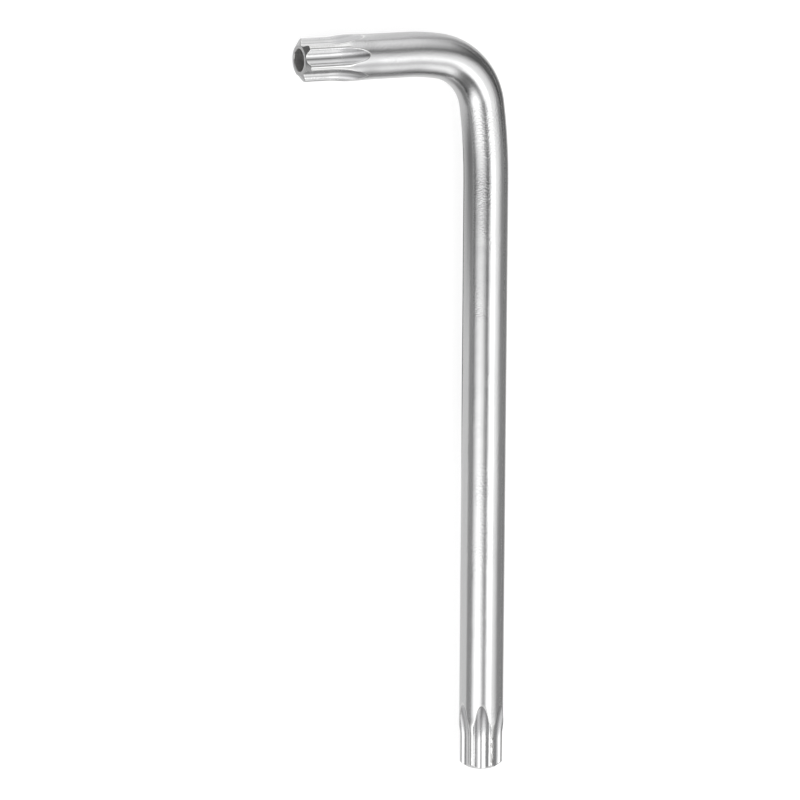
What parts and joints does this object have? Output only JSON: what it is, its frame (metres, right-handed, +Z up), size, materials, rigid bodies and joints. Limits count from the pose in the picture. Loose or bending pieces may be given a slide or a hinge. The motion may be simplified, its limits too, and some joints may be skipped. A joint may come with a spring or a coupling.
{
  "type": "star key",
  "caption": "L-shaped hand key bent from a round steel bar, with a fluted star tip drilled for a pin at each end, for turning tamper-resistant star screws.",
  "frame": {"origin": "on the floor under the middle of the key's box, with the key lying flat", "axes": "+Z up out of the plane of the L; +Y along the long arm, from its tip to the bend; +X from the short tip to the long arm"},
  "size_m": [0.047, 0.1551, 0.0094],
  "materials": {
    "plated_steel": "satin nickel-chrome plate on forged and bent bar"
  },
  "bodies": {
    "root": {"key_body": "plated_steel"}
  },
  "joints": []
}
